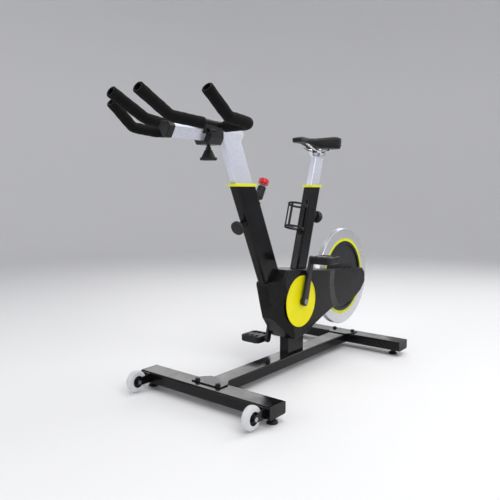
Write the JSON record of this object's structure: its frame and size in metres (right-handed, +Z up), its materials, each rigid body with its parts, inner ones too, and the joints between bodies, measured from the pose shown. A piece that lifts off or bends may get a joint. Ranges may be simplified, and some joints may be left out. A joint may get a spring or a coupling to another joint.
{
  "type": "exercise bike",
  "caption": "Indoor cycling bike: leaning posts with sliding handlebar and saddle, enclosed belt drive, rear flywheel with magnetic brake, crank and platform pedals on a floor base.",
  "frame": {"origin": "on the floor plane under the middle of the overall box, between the four levelling feet", "axes": "+X towards the handlebar end, +Y to the rider's left, +Z up"},
  "size_m": [1.4358, 0.58, 0.997],
  "materials": {
    "frame_paint": "gloss",
    "post_silver": "satin",
    "rail_silver": "satin",
    "black_plastic": "matte",
    "cover_plastic": "gloss",
    "yellow_plastic": "gloss",
    "disc_yellow": "gloss",
    "ring_yellow": "gloss",
    "disc_black": "satin",
    "rim_steel": "brushed",
    "bolt_steel": "satin",
    "crank_steel": "satin",
    "chrome": "polished",
    "tube_black": "gloss",
    "carriage_black": "satin black",
    "foam": "matte foam",
    "wheel_white": "satin",
    "belt_rubber": "matte",
    "pad_vinyl": "satin",
    "tray_grey": "satin",
    "knob_red": "gloss",
    "pedal_black": "matte"
  },
  "bodies": {
    "frame": {"front_stabiliser": "frame_paint", "rear_stabiliser": "frame_paint", "stabiliser_end_caps": "black_plastic", "main_beam": "frame_paint", "base_bolts": "carriage_black", "wheel_brackets": "frame_paint", "wheel_axles": "bolt_steel", "front_post": "frame_paint", "seat_tube": "frame_paint", "frame_bearings": "bolt_steel", "flywheel_stays": "frame_paint", "front_collar": "yellow_plastic", "seat_collar": "yellow_plastic", "drive_belt": "belt_rubber", "left_cover": "cover_plastic", "right_cover": "cover_plastic", "cover_screws": "carriage_black", "resistance_housing": "black_plastic", "brake_cable": "belt_rubber", "bottle_cage": "black_plastic"},
    "left_wheel": {"left_wheel_tyre": "wheel_white", "left_wheel_hub": "black_plastic"},
    "right_wheel": {"right_wheel_tyre": "wheel_white", "right_wheel_hub": "black_plastic"},
    "handlebar_mast": {"handlebar_post": "post_silver", "handlebar_rail": "rail_silver", "rail_end_cap": "black_plastic"},
    "handlebar": {"carriage": "carriage_black", "handlebar_tubes": "tube_black", "outer_grips": "foam", "aero_grips": "foam", "console_tray": "tray_grey"},
    "handlebar_clamp": {"clamp_knob": "black_plastic"},
    "front_pin": {"front_locking_pin": "black_plastic"},
    "seat_pin": {"seat_locking_pin": "black_plastic"},
    "seat_mast": {"seat_post": "post_silver"},
    "saddle_head": {"saddle_clamp": "chrome"},
    "saddle": {"saddle_rails": "chrome", "saddle_base": "black_plastic", "saddle_pad": "pad_vinyl"},
    "flywheel": {"flywheel_rim": "rim_steel", "flywheel_ring": "ring_yellow", "flywheel_disc": "disc_black", "flywheel_axle": "bolt_steel"},
    "crank": {"crank_axle": "bolt_steel", "left_crank": "crank_steel", "right_crank": "crank_steel", "crank_bolts": "bolt_steel", "pedal_spindles": "bolt_steel", "drive_pulley": "carriage_black", "pulley_disc": "disc_yellow"},
    "pedal_left": {"left_pedal": "pedal_black"},
    "pedal_right": {"right_pedal": "pedal_black"},
    "resistance_slider": {"resistance_shaft": "bolt_steel"},
    "resistance_dial": {"resistance_knob": "knob_red"},
    "brake": {"brake_yoke": "bolt_steel"},
    "front_left_foot": {"front_left_foot": "black_plastic"},
    "front_right_foot": {"front_right_foot": "black_plastic"},
    "rear_left_foot": {"rear_left_foot": "black_plastic"},
    "rear_right_foot": {"rear_right_foot": "black_plastic"}
  },
  "joints": [
    {"name": "flywheel_spin", "type": "hinge", "parent": "frame", "child": "flywheel", "pos_m": [-0.504, 0, 0.324], "axis": [0, 1, 0], "continuous": true},
    {"name": "crank_spin", "type": "hinge", "parent": "frame", "child": "crank", "pos_m": [-0.092, 0, 0.277], "axis": [0, 1, 0], "continuous": true},
    {"name": "left_pedal_spin", "type": "hinge", "parent": "crank", "child": "pedal_left", "pos_m": [-0.13886, 0.13, 0.44041], "axis": [0, 1, 0], "continuous": true},
    {"name": "right_pedal_spin", "type": "hinge", "parent": "crank", "child": "pedal_right", "pos_m": [-0.04514, -0.13, 0.11359], "axis": [0, 1, 0], "continuous": true},
    {"name": "handlebar_height", "type": "slide", "parent": "frame", "child": "handlebar_mast", "axis": [0.4147, 0, 0.91], "range_m": [-0.1, 0.045]},
    {"name": "handlebar_reach", "type": "slide", "parent": "handlebar_mast", "child": "handlebar", "axis": [1, 0, 0], "range_m": [-0.02, 0.1]},
    {"name": "handlebar_clamp_turn", "type": "hinge", "parent": "handlebar", "child": "handlebar_clamp", "pos_m": [0.373, 0, 0.83], "axis": [0, 0, 1], "range_deg": [0, 360]},
    {"name": "front_pin_pull", "type": "slide", "parent": "frame", "child": "front_pin", "axis": [0.91, 0, -0.4147], "range_m": [0, 0.012], "stiffness_N_per_m": 800, "springref_m": -0.01},
    {"name": "seat_height", "type": "slide", "parent": "frame", "child": "seat_mast", "axis": [-0.2874, 0, 0.9578], "range_m": [-0.095, 0.055]},
    {"name": "seat_pin_pull", "type": "slide", "parent": "frame", "child": "seat_pin", "axis": [-0.9578, 0, -0.2874], "range_m": [0, 0.012], "stiffness_N_per_m": 800, "springref_m": -0.01},
    {"name": "saddle_tilt", "type": "hinge", "parent": "seat_mast", "child": "saddle_head", "pos_m": [-0.287, 0, 0.8575], "axis": [0, 1, 0], "range_deg": [-10, 10]},
    {"name": "saddle_setback", "type": "slide", "parent": "saddle_head", "child": "saddle", "axis": [1, 0, 0], "range_m": [-0.015, 0.015]},
    {"name": "resistance_push", "type": "slide", "parent": "frame", "child": "resistance_slider", "axis": [0.4695, 0, -0.8829], "range_m": [0, 0.008], "stiffness_N_per_m": 900, "springref_m": -0.008},
    {"name": "resistance_turn", "type": "hinge", "parent": "resistance_slider", "child": "resistance_dial", "pos_m": [0.08553, 0, 0.72415], "axis": [-0.4695, 0, 0.8829], "range_deg": [0, 340]},
    {"name": "brake_tilt", "type": "hinge", "parent": "frame", "child": "brake", "pos_m": [-0.25, 0, 0.318], "axis": [0, -1, 0], "range_deg": [0, 8]},
    {"name": "left_wheel_spin", "type": "hinge", "parent": "frame", "child": "left_wheel", "pos_m": [0.476, 0.257, 0.042], "axis": [0, 1, 0], "continuous": true},
    {"name": "right_wheel_spin", "type": "hinge", "parent": "frame", "child": "right_wheel", "pos_m": [0.476, -0.257, 0.042], "axis": [0, 1, 0], "continuous": true},
    {"name": "front_left_foot_screw", "type": "slide", "parent": "frame", "child": "front_left_foot", "axis": [0, 0, 1], "range_m": [-0.006, 0.006]},
    {"name": "front_right_foot_screw", "type": "slide", "parent": "frame", "child": "front_right_foot", "axis": [0, 0, 1], "range_m": [-0.006, 0.006]},
    {"name": "rear_left_foot_screw", "type": "slide", "parent": "frame", "child": "rear_left_foot", "axis": [0, 0, 1], "range_m": [-0.006, 0.006]},
    {"name": "rear_right_foot_screw", "type": "slide", "parent": "frame", "child": "rear_right_foot", "axis": [0, 0, 1], "range_m": [-0.006, 0.006]}
  ],
  "couplings": [
    {"joint": "crank_spin", "follows": "flywheel_spin", "ratio": 0.25},
    {"joint": "brake_tilt", "follows": "resistance_turn", "ratio": 0.02353}
  ]
}
